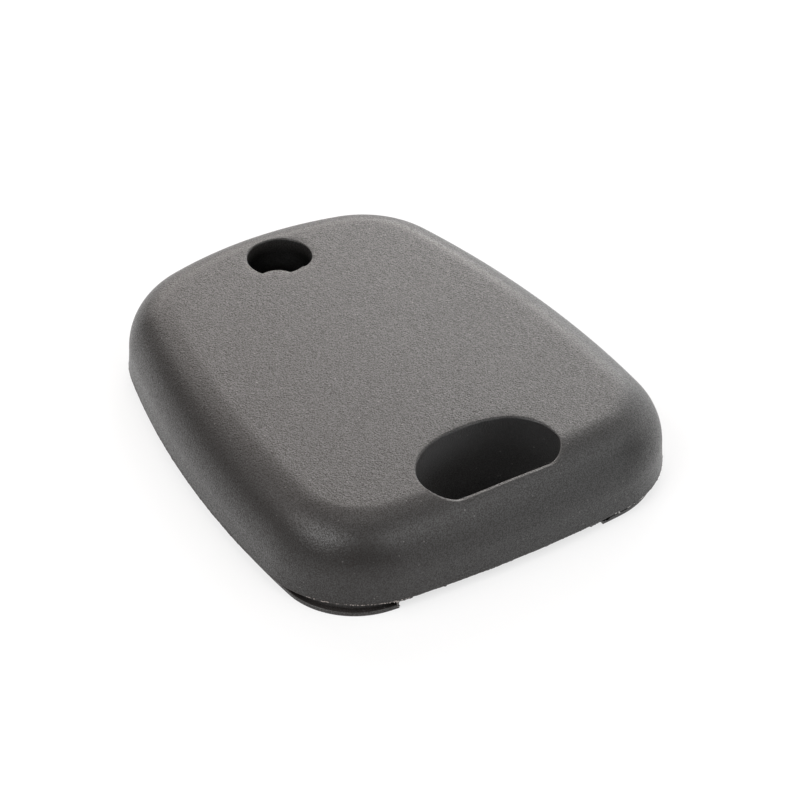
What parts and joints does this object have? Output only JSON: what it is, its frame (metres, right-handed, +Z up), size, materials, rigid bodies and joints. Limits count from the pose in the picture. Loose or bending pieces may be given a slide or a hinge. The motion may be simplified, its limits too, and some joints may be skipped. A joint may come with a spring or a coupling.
{
  "type": "remote key case",
  "caption": "Hard plastic case of a car remote key: domed rear shell with screw well and ring eye over a shallow front cover with push buttons, circuit board and coin cell.",
  "frame": {"origin": "on the surface that the case lies on, under the middle of its bounding box", "axes": "+X along the case from the blade end to the ring end, +Y across it, +Z up through the rear shell; the buttons face -Z"},
  "size_m": [0.05, 0.041, 0.0082],
  "materials": {
    "moulded_plastic": "fine moulded grain, satin",
    "button_plastic": "smooth satin",
    "gasket_rubber": "matt",
    "board_resin": "glossy solder mask",
    "switch_resin": "matt",
    "plunger_resin": "satin",
    "tinned_steel": "bright rolled sheet",
    "cell_steel": "polished nickel-plated sheet",
    "cell_seal": "matt",
    "chip_resin": "matt moulded resin",
    "can_metal": "satin drawn metal",
    "capsule_glass": "clear",
    "resistor_ceramic": "satin",
    "capacitor_ceramic": "satin",
    "zinc_plated_steel": "zinc plated"
  },
  "bodies": {
    "front_half": {"front_cover": "moulded_plastic", "button_gasket": "gasket_rubber", "circuit_board": "board_resin", "coin_cell_can": "cell_steel", "coin_cell_cap": "cell_steel", "coin_cell_seal": "cell_seal", "battery_contact": "tinned_steel", "battery_clip": "tinned_steel", "controller_chip": "chip_resin", "radio_resonator": "can_metal", "crystal": "can_metal", "transponder_capsule": "capsule_glass", "resistor_1": "resistor_ceramic", "capacitor_1": "capacitor_ceramic", "resistor_2": "resistor_ceramic", "capacitor_2": "capacitor_ceramic", "resistor_3": "resistor_ceramic", "capacitor_3": "capacitor_ceramic", "lock_switch_base": "switch_resin", "lock_switch_frame": "tinned_steel", "lock_snap_dome": "tinned_steel", "unlock_switch_base": "switch_resin", "unlock_switch_frame": "tinned_steel", "unlock_snap_dome": "tinned_steel"},
    "rear_half": {"rear_shell": "moulded_plastic"},
    "case_screw": {"case_screw": "zinc_plated_steel"},
    "lock_button": {"lock_button": "button_plastic"},
    "unlock_button": {"unlock_button": "button_plastic"},
    "lock_plunger": {"lock_switch_plunger": "plunger_resin"},
    "unlock_plunger": {"unlock_switch_plunger": "plunger_resin"}
  },
  "joints": [
    {"name": "rear_shell_lift", "type": "slide", "parent": "front_half", "child": "rear_half", "axis": [0, 0, 1], "range_m": [0, 0.02]},
    {"name": "case_screw_out", "type": "slide", "parent": "rear_half", "child": "case_screw", "axis": [0, 0, 1], "range_m": [0, 0.01]},
    {"name": "lock_button_press", "type": "slide", "parent": "front_half", "child": "lock_button", "axis": [0, 0, 1], "range_m": [0, 0.0003], "stiffness_N_per_m": 1500, "springref_m": -0.0006},
    {"name": "lock_plunger_press", "type": "slide", "parent": "front_half", "child": "lock_plunger", "axis": [0, 0, 1], "range_m": [0, 0.0003], "deforming": ["lock_snap_dome"]},
    {"name": "unlock_button_press", "type": "slide", "parent": "front_half", "child": "unlock_button", "axis": [0, 0, 1], "range_m": [0, 0.0003], "stiffness_N_per_m": 1500, "springref_m": -0.0006},
    {"name": "unlock_plunger_press", "type": "slide", "parent": "front_half", "child": "unlock_plunger", "axis": [0, 0, 1], "range_m": [0, 0.0003], "deforming": ["unlock_snap_dome"]}
  ],
  "couplings": [
    {"joint": "lock_plunger_press", "follows": "lock_button_press", "ratio": 1},
    {"joint": "unlock_plunger_press", "follows": "unlock_button_press", "ratio": 1}
  ]
}
